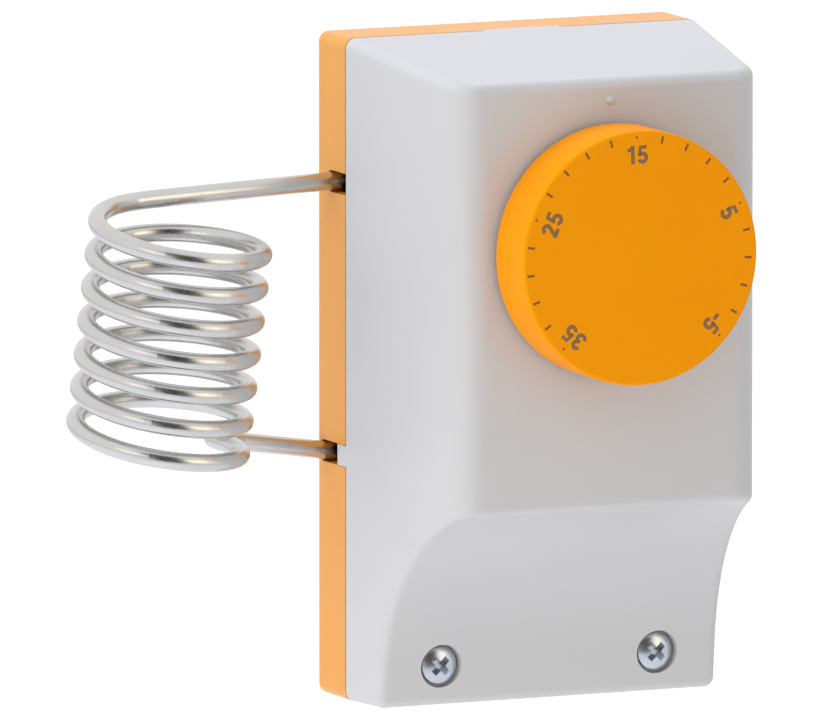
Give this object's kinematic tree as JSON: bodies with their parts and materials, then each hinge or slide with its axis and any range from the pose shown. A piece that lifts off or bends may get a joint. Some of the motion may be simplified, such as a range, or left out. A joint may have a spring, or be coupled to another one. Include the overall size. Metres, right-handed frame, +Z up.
{
  "type": "capillary thermostat",
  "caption": "Wall-mounted room thermostat with a turning dial on a tapered cover, a tray base and a coiled capillary sensor tube at its side.",
  "frame": {"origin": "centre of the base's flat back face, which lies on the wall", "axes": "+Z up, +Y into the wall, +X to the right seen from the front; the sensor coil is at -X"},
  "size_m": [0.1316, 0.0672, 0.127],
  "materials": {
    "orange_plastic": "moulded orange plastic, satin gloss",
    "dial_plastic": "moulded orange plastic with printed scale",
    "grey_plastic": "moulded light grey plastic, fine satin",
    "black_plastic": "moulded black phenolic",
    "black_rubber": "moulded soft rubber",
    "white_plastic": "moulded off-white plastic",
    "zinc_steel": "bright zinc-plated steel",
    "sheet_steel": "folded zinc-plated sheet",
    "spring_steel": "drawn spring wire",
    "tube_metal": "drawn nickel-plated tube",
    "brass": "turned brass"
  },
  "bodies": {
    "housing": {"base_tray": "orange_plastic", "front_cover": "grey_plastic", "cover_screws": "zinc_steel", "cable_grommet": "black_rubber", "mechanism_bracket": "sheet_steel", "bracket_screws": "zinc_steel", "bearing_plate": "sheet_steel", "bearing_bush": "brass", "range_spring": "spring_steel", "lever_pin": "zinc_steel", "capsule_body": "tube_metal", "capsule_diaphragm": "tube_metal", "sensor_coil": "tube_metal", "tube_clamp": "sheet_steel", "tube_clamp_screw": "zinc_steel", "switch_body": "black_plastic", "switch_screws": "zinc_steel", "terminal_clamps": "sheet_steel", "terminal_screws": "brass", "earth_clamp": "sheet_steel", "earth_screw": "zinc_steel"},
    "dial": {"dial_knob": "dial_plastic", "knob_clip": "spring_steel", "spindle": "brass", "spindle_circlip": "spring_steel"},
    "nut": {"range_nut": "brass"},
    "lever_arm": {"lever": "sheet_steel", "calibration_screw": "zinc_steel", "calibration_nut": "brass"},
    "stud": {"push_stud": "brass"},
    "plunger": {"switch_plunger": "white_plastic"}
  },
  "joints": [
    {"name": "dial_turn", "type": "hinge", "parent": "housing", "child": "dial", "pos_m": [0, -0.0548, 0.0261], "axis": [0, -1, 0], "range_deg": [-135, 135]},
    {"name": "nut_travel", "type": "slide", "parent": "housing", "child": "nut", "axis": [0, 1, 0], "range_m": [-0.00057, 0.00057], "deforming": ["range_spring"]},
    {"name": "lever_rock", "type": "hinge", "parent": "housing", "child": "lever_arm", "pos_m": [0, -0.0139, 0.043], "axis": [1, 0, 0], "range_deg": [-1, 1], "stiffness_Nm_per_rad": 3},
    {"name": "stud_push", "type": "slide", "parent": "housing", "child": "stud", "axis": [0, 1, 0], "range_m": [-0.0003, 0.0003], "deforming": ["capsule_diaphragm"]},
    {"name": "plunger_press", "type": "slide", "parent": "housing", "child": "plunger", "axis": [0, 1, 0], "range_m": [-0.00087, 0.00087]}
  ],
  "couplings": [
    {"joint": "nut_travel", "follows": "dial_turn", "m_per_rad": -0.00023873},
    {"joint": "stud_push", "follows": "lever_rock", "m_per_rad": 0.0169},
    {"joint": "plunger_press", "follows": "lever_rock", "m_per_rad": 0.049}
  ]
}
